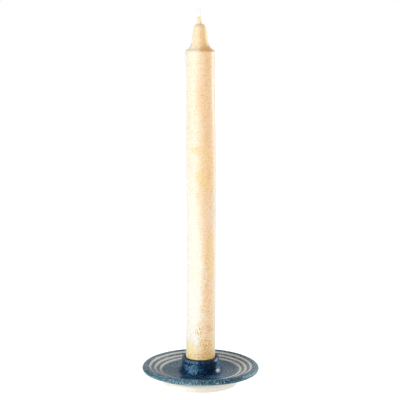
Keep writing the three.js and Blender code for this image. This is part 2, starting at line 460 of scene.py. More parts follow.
def make_grain_group():
    """The fine grain of a fired or dipped skin: a tone round 1, to make colours lighter or darker."""
    inputs = {"Grain Scale": 900.0, "Depth": 0.1}
    group, recipe, given, result = new_group("fine_grain", "Tone", inputs)
    grain = recipe.noise(given["Vector"], given["Grain Scale"], 1.0)
    drawn = recipe.ramp(grain, 0.36, 0.64, -1.0, 1.0)
    recipe.feed(result, recipe.plus(recipe.times(drawn, given["Depth"]), 1.0))
    return group


soft_mottle = make_mottle_group()
small_flecks = make_fleck_group()
fine_grain = make_grain_group()


class Surface(Recipe):
    """The recipe of a material: a Principled BSDF, and patterns on Object coordinates."""

    def __init__(self, name, roughness=0.5):
        self.material = bpy.data.materials.new(name)
        self.material.use_nodes = True
        super().__init__(self.material.node_tree)
        self.shader = self.nodes["Principled BSDF"]
        self.place = self.node("TexCoord").outputs["Object"]
        self.give("Roughness", roughness)

    def give(self, title, value):
        """Gives the shader one of its values."""
        self.feed(self.shader.inputs[title], value)

    def axes(self):
        """X, Y and the height above the table."""
        return self.node("SeparateXYZ", self.place).outputs

    def radius(self):
        """The distance from the candle's axis."""
        flat = self.node("VectorMath", self.place, (1, 1, 0), operation="MULTIPLY").outputs[0]
        return self.node("VectorMath", flat, operation="LENGTH").outputs["Value"]

    def stretched(self, share):
        """Object coordinates that draw a pattern out along the candle."""
        mapping = self.node("Mapping", self.place)
        mapping.inputs["Scale"].default_value = (1, 1, share)
        return mapping.outputs["Vector"]

    def use(self, group, vector=None, **values):
        """Places a node group with its own values, named as its inputs are. Returns its output."""
        node = self.node("Group", node_tree=group)
        self.feed(node.inputs["Vector"], self.place if vector is None else vector)
        for name, value in values.items():
            self.feed(node.inputs[name.replace("_", " ").title()], value)
        return node.outputs[0]

    def mottle(self, patch, grain, contrast, share=0.3, level=0.5, vector=None):
        """Soft patches of two sizes."""
        return self.use(soft_mottle, vector, patch_scale=patch, grain_scale=grain, grain_share=share,
                        level=level, contrast=contrast)

    def uneven(self, scale, depth, detail=3.0):
        """A noise round 0, which makes an edge uneven."""
        return self.times(self.minus(self.noise(self.place, scale, detail), 0.5), depth)

    def spots(self, spots, edge):
        """A mask of long round spots, each given by its middle and its reach in millimetres."""
        masks = []
        for middle, reach in spots:
            inside = self.place
            for operation, values in (("SUBTRACT", middle), ("DIVIDE", reach)):
                values = [value * MM for value in values]
                inside = self.node("VectorMath", inside, values, operation=operation).outputs[0]
            span = self.node("VectorMath", inside, operation="LENGTH").outputs["Value"]
            masks.append(self.ramp(self.plus(span, edge), SPOT_CORE, SPOT_EDGE, 1.0, 0.0))
        return self.highest(*masks)

    def stained(self, colour, tint, strength, spots, edge):
        """A colour with spots of a tint."""
        return self.mix(self.times(self.spots(spots, edge), strength), colour, tint)

    def flecked(self, colour, tint, strength, scale, size, share, blend="MIX"):
        """A colour with small flecks of a tint."""
        flecks = self.use(small_flecks, fleck_scale=scale, size=size, share=share)
        return self.mix(self.times(flecks, strength), colour, tint, blend)

    def grained(self, colour, scale, depth):
        """A colour with a fine grain."""
        return self.toned(colour, self.use(fine_grain, grain_scale=scale, depth=depth))

    def bump(self, height, distance):
        """Raises the surface by a mask of 0 to 1 times a real height."""
        node = self.node("Bump")
        for title, value in (("Strength", 1.0), ("Distance", distance), ("Height", height)):
            self.feed(node.inputs[title], value)
        self.give("Normal", node.outputs["Normal"])


def make_bare_clay():
    """Cream stoneware, bare and matt, with fine iron specks and faint turning lines. Its rings are
    greyer, from the glaze beside them, and are painted lighter or darker round the saucer as painted
    light and shade. The foot is painted whiter at its sides as painted light, and the bore of the socket
    is painted dark as painted shade."""
    clay = Surface("bare_clay", 0.82)
    x, y, height = clay.axes()
    radius = clay.radius()
    warm = clay.mottle(patch=70, grain=900, contrast=1.6)
    colour = clay.mix(clay.times(warm, 0.14), CLAY_CREAM, CLAY_TAN)
    # Painted light: the foot's clay is painted whiter on the left, and a little on the right.
    painted_side_light = clay.highest(clay.fade(x, -16, -4, 1.0, 0.0), clay.fade(x, 8, 22, 0.0, 0.3))
    colour = clay.mix(painted_side_light, colour, CLAY_PAINTED_LIGHT)
    # Painted light and shade: the rings are painted lighter towards the right, lighter at the back left
    # and front right, and darker at the back right and front left.
    stained = clay.mix(clay.fade(x, 0, 30, 0.0, 0.4), CLAY_STAINED, CLAY_PAINTED_LIGHT)
    diagonal = 0.5 * FIRST_RING_RADIUS ** 2
    stained = clay.toned(stained, clay.ramp(clay.times(x, y), -diagonal, diagonal, 1.06, 0.80))
    on_rings = clay.ramp(height, WELL_Z - 1.5 * MM, WELL_Z - 0.5 * MM)
    colour = clay.mix(on_rings, colour, stained)
    # Painted shade: the bore of the socket, in shadow round the candle's foot, is painted nearly black.
    in_bore = clay.times(
        clay.ramp(radius, BORE_RADIUS + 0.1 * MM, BORE_RADIUS + 0.4 * MM, 1.0, 0.0),
        clay.ramp(height, SOCKET_FLOOR_Z, LIP_Z - 3 * MM),
    )
    colour = clay.mix(in_bore, colour, CLAY_PAINTED_SHADE)
    colour = clay.flecked(colour, CLAY_TAN, 0.6, scale=800, size=0.2, share=0.14)
    clay.give("Base Color", clay.grained(colour, 700, 0.035))
    along = clay.plus(radius, clay.times(height, 1.3))
    lines = clay.math("SINE", clay.times(along, 2 * math.pi / TURNING_PITCH))
    grain = clay.noise(clay.place, 2200, 3.0)
    clay.bump(clay.plus(clay.times(lines, 0.12), grain), 0.06 * MM)
    return clay.material


bare_clay = make_bare_clay()
saucer = throw("saucer_clay", saucer_outline())
finish(saucer, [hand_of_the_thrower], bare_clay, "holder", "saucer")


# The socket is a short collar of the same clay. It is thrown by itself, luted to the middle of the
# well with slip and glazed with the saucer. Only its bore stays bare, where the candle's foot goes in.
SOCKET_SPREAD = 3.5 * MM
SOCKET_NECK_Z = WELL_Z + 6.6 * MM
LIP_ROUNDING = 1.0 * MM
BORE_EDGE = 0.4 * MM


def socket_line():
    """The visible socket, from the well up its spread base and wall and over its lip to the bore."""
    lip_radius = WELL_RADIUS - SOCKET_SPREAD
    base = (WELL_RADIUS, WELL_Z)
    spread = (lip_radius + 0.6 * MM, WELL_Z + 1.2 * MM)
    neck = (lip_radius, SOCKET_NECK_Z)
    wall_top = (lip_radius, LIP_Z - LIP_ROUNDING)
    lip_top = (lip_radius - LIP_ROUNDING, LIP_Z)
    return [
        base,
        *curve(base, spread, neck, 14),
        (lip_radius, (neck[1] + wall_top[1]) / 2),
        wall_top,
        *quarter(wall_top, lip_top, True, 8),
        (BORE_RADIUS + SEAM, LIP_Z),
    ]


def socket_outline():
    """The collar's clay, from its seat on the well up its wall and down its bore."""
    wall = inset(socket_line(), CLAY_DEPTH)
    seat_z = WELL_Z - CLAY_DEPTH
    start = (BORE_RADIUS, seat_z)
    mouth = (BORE_RADIUS + BORE_EDGE, wall[-1][1])
    return [
        start,
        (WELL_RADIUS - CLAY_DEPTH, seat_z),
        *wall[2:-1],
        mouth,
        *quarter(mouth, (BORE_RADIUS, mouth[1] - BORE_EDGE), False, 4),
        (BORE_RADIUS, (WELL_Z + LIP_Z) / 2),
        start,
    ]


socket = throw("socket_clay", socket_outline())
finish(socket, [hand_of_the_thrower], bare_clay, "holder", "candle_socket")


# The glaze is one deep blue stoneware glaze, poured on in a coat half a millimetre thick. Wax painted
# on the three rings kept it off them, so it lies in four coats. It pools dark and still in the well and
# on the socket, breaks to a speckled teal where it runs thin, and is greyer on the bands.
GLAZE_DEEP = (0.0005, 0.010, 0.036, 1)
GLAZE_BLUE = (0.001, 0.068, 0.185, 1)
# The next colour is a painted reflection.
GLAZE_PAINTED_REFLECTION = (0.085, 0.215, 0.355, 1)
GLAZE_SHALLOW = (0.022, 0.098, 0.168, 1)
GLAZE_MIST = (0.210, 0.300, 0.410, 1)
GLAZE_TEAL = (0.018, 0.078, 0.128, 1)
GLAZE_PALE = (0.145, 0.305, 0.390, 1)
GLAZE_FLECK = (0.270, 0.420, 0.480, 1)
# The next colour is painted shadow.
GLAZE_PAINTED_SHADOW = (0.014, 0.022, 0.013, 1)
GLAZE_GREY = (0.42, 0.41, 0.36, 1)
# The next colour is a painted highlight.
GLAZE_PAINTED_HIGHLIGHT = (0.52, 0.60, 0.66, 1)
GLAZE_PORE = (0.008, 0.026, 0.045, 1)

# Each spot is its middle and its reach, in millimetres.
# Painted reflections on the socket's front left:
PAINTED_REFLECTION_SPOTS = [((-6.0, -12, 12.9), (4.6, 8, 3.9)), ((-10.4, -9, 14.4), (1.7, 4, 2.0))]
# Painted reflections on the socket's right and in the well in front:
PAINTED_REFLECTION_PATCHES = [((13.4, -5, 14), (2.9, 6, 5)), ((12, -19, 9), (6, 5, 3))]
# Painted reflections in the well:
PAINTED_WELL_REFLECTIONS = [((27, -8, 9.5), (13, 14, 6)), ((-19, 17, 9.5), (12, 12, 6))]
# Painted highlights on the socket's lip and base:
PAINTED_HIGHLIGHT_SPOTS = [((11.7, -8.0, 18.5), (2.1, 3.0, 0.8)), ((12.8, -8.3, 11.0), (1.9, 3.0, 1.2))]
POOLED_GLAZE = [((8, -11, 13.5), (9, 8, 6))]

# The thick coat of the well and the socket is a little duller than the rim and the bands.
RIM_GLOSS = 0.36
WELL_GLOSS = 0.18

# How the edge of a coat is drawn round: how far it drops, and its share of the way to the next point.
EDGE_ROUNDING = 0.12 * MM
EDGE_SHARE = 0.3


def deep_glaze(glaze, y, radius, quiet):
    """The colour of thick glaze: nearly black, with blue clouds, and lighter where the well is shallow."""
    in_well = glaze.ramp(radius, WELL_RADIUS - 2 * MM, WELL_RADIUS + 3 * MM)
    shallow = glaze.times(in_well, glaze.fade(y, -25, -15, 0.25, 1.0))
    ground = glaze.mix(shallow, GLAZE_DEEP, GLAZE_SHALLOW)
    cloud = glaze.mottle(patch=260, grain=900, contrast=3.6, share=0.8, level=0.52)
    cloud = glaze.times(cloud, quiet, glaze.ramp(in_well, 0, 1, 1.0, 0.45))
    return glaze.mix(cloud, ground, GLAZE_BLUE)


def thin_glaze(glaze, x, height, run_off):
    """The colour of thin glaze: teal, broken by paler patches most of all where it ran off, with a painted
    highlight along the rim's lower edge on the left.
    """
    broken = glaze.mottle(patch=1500, grain=2700, contrast=6.5, share=0.9)
    thicker = glaze.highest(glaze.fade(x, 4, 18, 1.0, 0.45), glaze.fade(x, 24, 34))
    broken = glaze.times(broken, glaze.ramp(run_off, 0, 1, 0.30, 1.05), thicker)
    # Painted highlight: the rim's lower edge on the left is painted pale.
    painted_brim_highlight = glaze.times(
        glaze.ramp(height, CREST_Z - 2.0 * MM, CREST_Z - 1.2 * MM, 0.90, 0.0),
        glaze.fade(x, -8, 0, 1.0, 0.0),
    )
    return glaze.mix(glaze.highest(broken, painted_brim_highlight), GLAZE_TEAL, GLAZE_PALE)


def grey_bands(glaze, x, y, near_ring):
    """A mask of the greyer glaze: the bands between the rings, and the back and right of the saucer."""
    on_bands = glaze.highest(
        glaze.fade(near_ring, 1.9, 2.8, 1.0, 0.0),
        glaze.fade(y, 15, 32),
        glaze.fade(x, 32, 41, 0.0, 0.5),
    )
    away_from_left = glaze.plus(y, glaze.times(x, 0.7))
    return glaze.times(on_bands, glaze.fade(away_from_left, -25, 0, 0.0, 0.27))


def speckled(glaze, colour, thin, painted_reflection_mask, shown):
    """A colour of the glaze with its pale flecks, dark pinholes and grain."""
    tint = glaze.mix(thin, GLAZE_MIST, GLAZE_FLECK)
    strength = glaze.highest(glaze.ramp(thin, 0, 1, 0.13, 0.9), glaze.times(painted_reflection_mask, 0.75))
    colour = glaze.flecked(colour, tint, glaze.times(strength, shown), scale=1000, size=0.50, share=0.32)
    open_pores = glaze.ramp(painted_reflection_mask, 0, 1, 0.90, 0.50)
    colour = glaze.flecked(colour, GLAZE_PORE, open_pores, scale=1050, size=0.48, share=0.34)
    depth = glaze.minus(glaze.ramp(thin, 0, 1, 0.75, 0.55), glaze.times(painted_reflection_mask, 0.25))
    return glaze.grained(colour, 1000, depth)


def make_blue_glaze(name, gloss):
    """Glossy cobalt glaze that turns teal where it is thin, with pale flecks and pinholes. Its colour also
    holds painted reflections, painted highlights and a painted shadow at the front of the socket's lip.
    """
    glaze = Surface(name)
    x, y, height = glaze.axes()
    radius = glaze.radius()
    from_rings = [glaze.math("ABSOLUTE", glaze.minus(radius, middle)) for middle in RING_RADII]
    near_ring = glaze.join("MINIMUM", from_rings)
    on_rim = glaze.ramp(radius, FIRST_RING_RADIUS + 0.8 * MM, RIM_RADIUS - 1.5 * MM)
    on_lip = glaze.times(
        glaze.ramp(height, LIP_Z - 2.9 * MM, LIP_Z - 1.7 * MM, 0.0, 0.75),
        glaze.fade(x, -4, 0.5, 1.0, 0.12),
        glaze.fade(x, -12.6, -10, 0.3, 1.0),
    )
    beside_ring = glaze.fade(near_ring, 0.9, 1.7, 0.8, 0.0)
    thin = glaze.highest(on_rim, on_lip, beside_ring)
    run_off = glaze.highest(
        glaze.times(glaze.fade(x, -10, 6, 0.95, 0.0), glaze.fade(x, -41, -31, 0.15, 1.0)),
        glaze.fade(x, 24, 36, 0.0, 1.15),
    )
    edge = glaze.uneven(200, 1.2)
    pooled = glaze.spots(POOLED_GLAZE, edge)
    quiet = glaze.ramp(pooled, 0, 1, 1.0, 0.10)
    # Painted reflection: blotches on the socket's front left, where a lamp would be mirrored.
    painted_reflection_mask = glaze.times(glaze.ramp(glaze.spots(PAINTED_REFLECTION_SPOTS, edge), 0, 1, 0.03, 1.0), quiet)
    blotchy = glaze.mottle(patch=560, grain=1300, contrast=3.0, share=0.8, level=0.43)

    colour = deep_glaze(glaze, y, radius, quiet)
    colour = glaze.mix(glaze.times(blotchy, painted_reflection_mask, 0.95), colour, GLAZE_PAINTED_REFLECTION)
    # Painted reflections: a lighter strip on the socket's right and a lighter patch in the well in front.
    colour = glaze.stained(colour, GLAZE_PAINTED_REFLECTION, 0.64, PAINTED_REFLECTION_PATCHES, edge)
    # Painted reflections: lighter grey patches in the well, at the front right and the back left.
    colour = glaze.stained(colour, GLAZE_GREY, 0.12, PAINTED_WELL_REFLECTIONS, edge)
    colour = glaze.mix(thin, colour, thin_glaze(glaze, x, height, run_off))
    colour = glaze.mix(grey_bands(glaze, x, y, near_ring), colour, GLAZE_GREY)
    shown = glaze.times(glaze.ramp(run_off, 0, 1, 0.75, 1.0), quiet)
    colour = speckled(glaze, colour, thin, painted_reflection_mask, shown)
    # Painted shadow: the front of the socket's lip, by the gap round the candle, is painted nearly black.
    painted_lip_shadow = glaze.times(
        glaze.ramp(radius, BORE_RADIUS + 1.6 * MM, BORE_RADIUS + 2.0 * MM, 1.0, 0.0),
        glaze.ramp(height, LIP_Z - 0.6 * MM, LIP_Z - 0.3 * MM),
        glaze.fade(y, -9, -4, 1.0, 0.10),
    )
    colour = glaze.mix(painted_lip_shadow, colour, GLAZE_PAINTED_SHADOW)
    # Painted highlights: a glint on the lip and one on the socket's spread base, both on the right.
    colour = glaze.stained(colour, GLAZE_PAINTED_HIGHLIGHT, 0.66, PAINTED_HIGHLIGHT_SPOTS, glaze.uneven(900, 1.2))
    glaze.give("Base Color", colour)

    peel = glaze.noise(glaze.place, 700, 3.0, 0.65)
    pits = glaze.use(small_flecks, fleck_scale=700, size=0.16, share=0.25)
    glaze.bump(glaze.minus(peel, glaze.times(pits, 0.8)), 0.08 * MM)
    dull_rim = glaze.times(on_rim, glaze.fade(x, 12, 34, 0.0, 0.22))
    dull_pool = glaze.times(pooled, 0.08)
    glaze.give("Roughness", glaze.plus(glaze.ramp(blotchy, 0, 1, 0.12, 0.25), dull_rim, dull_pool))
    glaze.give("Specular IOR Level", gloss)
    return glaze.material


def coat_outline(line, under):
    """A coat between its surface and the clay, with its two edges drawn round, as thick glaze ends."""
    top = list(line)
    for end, inner in ((0, 1), (-1, -2)):
        radius, height = line[end]
        top[end] = (radius + (line[inner][0] - radius) * EDGE_SHARE, height - EDGE_ROUNDING)
    return [*top, *reversed(under), top[0]]


blue_glaze = make_blue_glaze("blue_glaze", RIM_GLOSS)
still_glaze = make_blue_glaze("still_blue_glaze", WELL_GLOSS)
rim = rim_line()
under_rim = [*inset(rim[:-1], GLAZE_THICKNESS), *lower(rim[-1:], GLAZE_THICKNESS)]
glaze_coats = {"rim_glaze": coat_outline(rim, under_rim)}
for index, node in enumerate(("outer_band_glaze", "inner_band_glaze", "well_and_socket_glaze")):
    line = band_line(index)
    under = lower(line, GLAZE_THICKNESS)
    if index == len(RING_RADII) - 1:
        under += inset(socket_line(), GLAZE_THICKNESS)[1:]
        line += socket_line()[1:]
    glaze_coats[node] = coat_outline(line, under)
for node, outline in glaze_coats.items():
    coat = throw(node.replace("glaze", "glaze_coat"), outline)
    glaze = still_glaze if node == "well_and_socket_glaze" else blue_glaze
    finish(coat, [hand_of_the_thrower], glaze, "holder", node)


# The core is golden beeswax, pressed round the wick. Its head is milled in one pass to a slim cone with
# a hollow flare, and the cutter leaves a thin ragged skirt that overhangs the paler coat.
CORE_LOW, CORE_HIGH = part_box("wax_core")
SHOULDER_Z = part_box("wax_coat")[1].z
COAT_THICKNESS = 0.8 * MM
SHOULDER_RADIUS = CORE_HIGH.x - 0.1 * MM
SKIRT_RADIUS = CORE_HIGH.x
SKIRT_Z = SHOULDER_Z + 0.25 * MM
FLARE_HEIGHT = 7.4 * MM
FLARE_REACH = 0.9 * MM
FLARE_LIFT = 1.5 * MM
CONE_FOOT_RADIUS = 5.7 * MM
CONE_TOP_RADIUS = 4.6 * MM
CONE_HEIGHT = 8.6 * MM
CONE_SWELL = 0.25 * MM
CROWN_RADIUS = 2.4 * MM
CROWN_INSET = 0.4 * MM
CROWN_DROP = 1.0 * MM
WICK_BORE_RADIUS = 1.15 * MM
SKIRT_RAGGEDNESS = 0.20 * MM
TOOTH_LENGTH = 0.9 * MM
TOOTH_PITCH = 1.9 * MM
MILL_RIDGE = 0.02 * MM
MILL_PITCH = 0.45 * MM
MILL_DENT = 0.10 * MM
CANDLE_STEPS = 160
WAX_CREAM = (0.92, 0.77, 0.55, 1)
# The next colour is painted light, by the skirt on the left of the head.
WAX_PAINTED_SKIRT_LIGHT = (0.98, 0.82, 0.61, 1)
# The next colour is painted light, on the left edge of the head.
WAX_PAINTED_EDGE_LIGHT = (1.0, 0.92, 0.76, 1)
WAX_GOLD = (0.89, 0.60, 0.26, 1)
WAX_AMBER = (0.78, 0.42, 0.13, 1)
BOW = 0.75 * MM
BOW_SAG = 0.82
LEAN = 0.4 * MM
HEAD_LEAN = 2.6 * MM


def set_of_the_candle(point):
    """The slight bow that a dipped candle takes as it hangs. Its foot in the socket stays straight."""
    share = (point.z - LIP_Z) / (SHOULDER_Z - LIP_Z)
    if share <= 0:
        return UNMOVED
    if share > 1:
        return Vector((-LEAN - HEAD_LEAN * (share - 1), 0, 0))
    return Vector((BOW * math.sin(math.pi * share ** BOW_SAG) - LEAN * share, 0, 0))


def core_outline():
    """The core from its foot up to the skirt, the milled head, and back down the wick's bore."""
    foot_radius = CANDLE_FOOT_RADIUS - COAT_THICKNESS - SEAM
    top_radius = SHOULDER_RADIUS - COAT_THICKNESS - SEAM
    skirt = (SKIRT_RADIUS, SKIRT_Z)
    cone_foot = (CONE_FOOT_RADIUS, SKIRT_Z + FLARE_HEIGHT)
    cone_top = (CONE_TOP_RADIUS, cone_foot[1] + CONE_HEIGHT)
    mid_cone = ((CONE_FOOT_RADIUS + CONE_TOP_RADIUS) / 2 + CONE_SWELL, cone_foot[1] + CONE_HEIGHT / 2)
    start = (WICK_BORE_RADIUS, CORE_LOW.z)
    crown = (CROWN_RADIUS, CORE_HIGH.z)
    cone_round = (CONE_TOP_RADIUS - CROWN_INSET, CORE_HIGH.z - CROWN_DROP)
    flare = (CONE_FOOT_RADIUS + FLARE_REACH, SKIRT_Z + FLARE_LIFT)
    overhang = SHOULDER_RADIUS + 0.02 * MM
    return [
        start,
        *straight((foot_radius, CORE_LOW.z), (top_radius, SHOULDER_Z), 12),
        (overhang, SHOULDER_Z + 0.05 * MM),
        (overhang, SHOULDER_Z - 0.05 * MM),
        (SKIRT_RADIUS, SHOULDER_Z - 0.04 * MM),
        skirt,
        *curve(skirt, flare, cone_foot, 22),
        *curve(cone_foot, mid_cone, cone_top, 12),
        *curve(cone_top, cone_round, crown, 8),
        (1.8 * MM, CORE_HIGH.z - 0.03 * MM),
        (WICK_BORE_RADIUS, CORE_HIGH.z - 0.1 * MM),
        start,
    ]


def mill_marks(point):
    """What the milling cutter leaves: a ragged edge on the skirt and faint ridges round the head."""
    radius, outward = from_axis(point)
    if radius < WICK_BORE_RADIUS + 0.2 * MM or point.z < SHOULDER_Z - 0.1 * MM:
        return UNMOVED
    if radius > SHOULDER_RADIUS and point.z < SHOULDER_Z:
        steps = 2 * SHOULDER_RADIUS / TOOTH_PITCH
        tooth = noise.noise(Vector((outward.x * steps, outward.y * steps, 5.2)))
        return Vector((0, 0, -TOOTH_LENGTH * ease(tooth, -0.35, 0.45)))
    at_edge = ease(radius, SKIRT_RADIUS - 1.2 * MM, SKIRT_RADIUS - 0.1 * MM)
    notch = noise.noise(Vector((outward.x * 14, outward.y * 14, 3.1)))
    chip = noise.noise(Vector((outward.x * 34, outward.y * 34, 8.4)))
    ragged = (0.65 * notch + 0.35 * chip) * SKIRT_RAGGEDNESS * at_edge
    ridge = MILL_RIDGE * math.sin(point.z / MILL_PITCH * 2 * math.pi)
    dent = MILL_DENT * noise.noise(point * 260)
    return outward * (ragged * 0.6 + (ridge + dent) * (1 - at_edge)) + Vector((0, 0, ragged))


def soften(wax, weight, reach, depth, sheen, sheen_roughness):
    """How far light sinks into a wax, and the soft sheen on it."""
    wax.give("Subsurface Weight", weight)
    wax.give("Subsurface Radius", reach)
    wax.give("Subsurface Scale", depth)
    wax.give("Sheen Weight", sheen)
    wax.give("Sheen Roughness", sheen_roughness)


def make_golden_wax():
    """Milled golden wax, satin and warm, with golden clouds and amber flecks. Painted light makes it pale
    on the left, most of all by the skirt and at its edge; painted shade makes it golden on the right and
    darker at its right edge, with a painted amber shadow under the skirt. It is amber round the wick too.
    """
    wax = Surface("golden_wax", 0.42)
    x, _, height = wax.axes()
    radius = wax.radius()
    right = wax.fade(x, -2.5, 2.5)
    by_skirt = wax.ramp(height, SKIRT_Z, SKIRT_Z + 5.5 * MM, 1.0, 0.0)
    cloud = wax.mottle(patch=260, grain=1000, contrast=3.0, share=0.7)
    # Painted light and shade: the head is painted cream on the left and golden on the right.
    gold = wax.math("ADD", wax.ramp(right, 0, 1, 0.05, 0.65), wax.times(cloud, 0.3), clamp=True)
    colour = wax.mix(gold, WAX_CREAM, WAX_GOLD)
    # Painted light: paler wax by the skirt on the left.
    colour = wax.mix(wax.times(by_skirt, wax.ramp(right, 0, 0.4, 0.7, 0.0)), colour, WAX_PAINTED_SKIRT_LIGHT)
    by_wick = wax.times(
        wax.ramp(height, CORE_HIGH.z - 1.0 * MM, CORE_HIGH.z - 0.3 * MM),
        wax.fade(radius, 2.4, 4.0, 1.0, 0.0),
        wax.ramp(right, 0, 1, 0.45, 0.9),
    )
    # Painted shadow: amber under the skirt on the right. The wax round the wick is amber too, more on the
    # right.
    skirt_shade_and_wick_amber = wax.highest(wax.times(by_skirt, wax.ramp(right, 0, 1, 0.0, 0.9)), by_wick)
    colour = wax.mix(skirt_shade_and_wick_amber, colour, WAX_AMBER)
    colour = wax.flecked(colour, WAX_AMBER, 0.45, scale=760, size=0.44, share=0.35)
    colour = wax.grained(colour, 800, 0.05)
    # Painted light: the head's left edge is painted near white.
    painted_left_edge_light = wax.times(
        wax.fade(x, -5.6, -3.6, 0.75, 0.0),
        wax.ramp(height, SKIRT_Z + 1.5 * MM, SKIRT_Z + 6 * MM, 0.30, 1.0),
    )
    colour = wax.mix(painted_left_edge_light, colour, WAX_PAINTED_EDGE_LIGHT)
    # Painted shade: the head's right edge is darkened.
    wax.give("Base Color", wax.toned(colour, wax.fade(x, 3.9, 4.9, 1.0, 0.88)))
    soften(wax, weight=0.25, reach=(1.0, 0.7, 0.4), depth=1.5 * MM, sheen=0.5, sheen_roughness=0.35)
    wax.bump(wax.noise(wax.place, 900, 3.0), 0.10 * MM)
    return wax.material


golden_wax = make_golden_wax()
core = throw("beeswax_core", core_outline(), CANDLE_STEPS)
finish(core, [mill_marks, set_of_the_candle], golden_wax, "candle", "wax_core")


# The coat is paler beeswax that the core was dipped in, a shell less than a millimetre thick. It ran
# and set with a slight belly and an orange-peel skin. Golden wax shows through it in patches and flecks,
# most of all at the foot. Its colour also holds painted light and painted shade, and a thin dark ring at
# its foot is a painted shadow of the gap under the socket's lip.
COAT_LOW, COAT_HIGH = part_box("wax_coat")
COAT_RINGS = 300
COAT_FOOT_ROUNDING = 0.5 * MM
COAT_TOP_ROUNDING = 0.25 * MM
BELLY = 0.20 * MM
COAT_SWELL = 0.08 * MM
COAT_PEEL = 0.05 * MM
WAX_PALE = (0.938, 0.835, 0.670, 1)
# The next colour is painted light.
WAX_PAINTED_LIGHT = (0.960, 0.935, 0.840, 1)
# Peach is partly the wax's own clouds, and mostly painted shade on the right.
WAX_PEACH = (0.930, 0.610, 0.330, 1)
WAX_HONEY = (0.940, 0.675, 0.330, 1)
WAX_BUTTER = (0.995, 0.820, 0.420, 1)
WAX_BROWN = (0.810, 0.590, 0.280, 1)
WAX_OCHRE = (0.820, 0.580, 0.260, 1)
WAX_PEPPER = (0.925, 0.865, 0.700, 1)
# The next colour is painted shadow.
WAX_PAINTED_SHADOW = (0.030, 0.032, 0.020, 1)
# Spots of painted light on the lit front left of the coat:
PAINTED_LIGHT_SPOTS = [((-6, -9, 85), (8, 8, 70)), ((-4.5, -10, 47), (4.5, 6, 22))]
HONEY_SPOTS = [
    ((0.5, -10, 175.5), (7, 6, 3.5)),
    ((6, -9, 169.5), (5.5, 7, 5.5)),
    ((0.5, -10, 157.5), (4.5, 6, 4.5)),
    ((5, -9, 151), (5.5, 6, 5.5)),
    ((7, -8, 97), (3.5, 5, 17)),
    ((5, -9, 25), (7, 6, 14)),
]
DOT_SPOTS = [
    ((-1.0, -11, 42), (3.5, 3, 7)),
    ((7, -8, 43), (3, 4, 5)),
    ((4.5, -10, 27), (6.5, 6, 13)),
    ((-4, -10, 22), (8, 6, 4)),
]
# Partly the wax's own yellow, partly painted light against the saucer's shade:
BUTTER_SPOT = [((-7.5, -9, 22.5), (5.5, 8, 11))]
FAINT_DOT_SPOTS = [((4, -10, 72), (3.5, 4, 40))]


def coat_shell_outline():
    """The coat from its foot up to the skirt, and back down inside."""
    inner_foot = (CANDLE_FOOT_RADIUS - COAT_THICKNESS, COAT_LOW.z)
    inner_top = (SHOULDER_RADIUS - COAT_THICKNESS, COAT_HIGH.z)
    foot = (CANDLE_FOOT_RADIUS - COAT_FOOT_ROUNDING, COAT_LOW.z)
    outer_foot = (CANDLE_FOOT_RADIUS, COAT_LOW.z + COAT_FOOT_ROUNDING)
    outer_top = (SHOULDER_RADIUS, COAT_HIGH.z - COAT_TOP_ROUNDING)
    top = (SHOULDER_RADIUS - COAT_TOP_ROUNDING, COAT_HIGH.z)
    return [
        inner_foot,
        foot,
        *quarter(foot, outer_foot, False, 4),
        outer_top,
        *quarter(outer_top, top, True, 3),
        inner_top,
        inner_foot,
    ]


def dipped_skin(point):
    """The slow swells and the orange peel of a coat that ran down and set. The inside stays true."""
    radius, outward = from_axis(point)
    outside = ease(radius, SHOULDER_RADIUS - 0.4 * MM, SHOULDER_RADIUS - 0.15 * MM)
    clear_of_socket = ease(point.z, LIP_Z - 2 * MM, LIP_Z + 4 * MM)
    swell = noise.noise(Vector((point.x * 45, point.y * 45, point.z * 28)))
    belly = ease(point.z, 105 * MM, 145 * MM) * (1 - ease(point.z, 175 * MM, 215 * MM))
    peel = noise.noise(point * 420)
    under_skirt = 1 - ease(point.z, COAT_HIGH.z - 2 * MM, COAT_HIGH.z)
    amount = BELLY * belly + COAT_SWELL * swell + COAT_PEEL * peel
    return outward * amount * clear_of_socket * outside * under_skirt


def pale_ground(wax, x, height):
    """The colour under the spots: pale, with peach clouds, and peach towards the right as painted shade.
    The peach fades near the right edge as painted rim light, and the left edge is painted near white as
    painted light."""
    along = wax.stretched(0.45)
    cloud = wax.mottle(patch=110, grain=450, contrast=3.2, share=0.8, level=0.52, vector=along)
    drift = wax.uneven(16, 14 * MM, detail=1.0)
    # Painted shade: the share of peach rises towards the right.
    painted_shade_right = wax.fade(wax.plus(x, drift), -4.5, 4.5)
    cloudy = wax.times(cloud, wax.ramp(painted_shade_right, 0, 1, 0.12, 0.30))
    even = wax.times(painted_shade_right, wax.plus(wax.fade(height, 122, 162, 0.0, 0.24), 0.50))
    peach = wax.math("ADD", cloudy, even, clamp=True)
    # Painted rim light: the peach fades near the right edge, along a wavy line.
    wavy = wax.plus(
        x,
        wax.times(drift, 0.15),
        wax.fade(height, 120, 165, 0.8 * MM, 0.0),
        wax.fade(height, 185, 220, 0.0, 1.0 * MM),
    )
    painted_rim_light_fade = wax.fade(wavy, 8.8, 10.4, 1.0, 0.30)
    colour = wax.mix(wax.times(peach, painted_rim_light_fade), WAX_PALE, WAX_PEACH)
    # Painted light: the coat's left edge is painted near white.
    from_left = wax.plus(x, wax.fade(height, 140, 180, -1.3 * MM, 0.0))
    return wax.mix(wax.fade(from_left, -10.4, -8.2, 0.85, 0.0), colour, WAX_PAINTED_LIGHT)


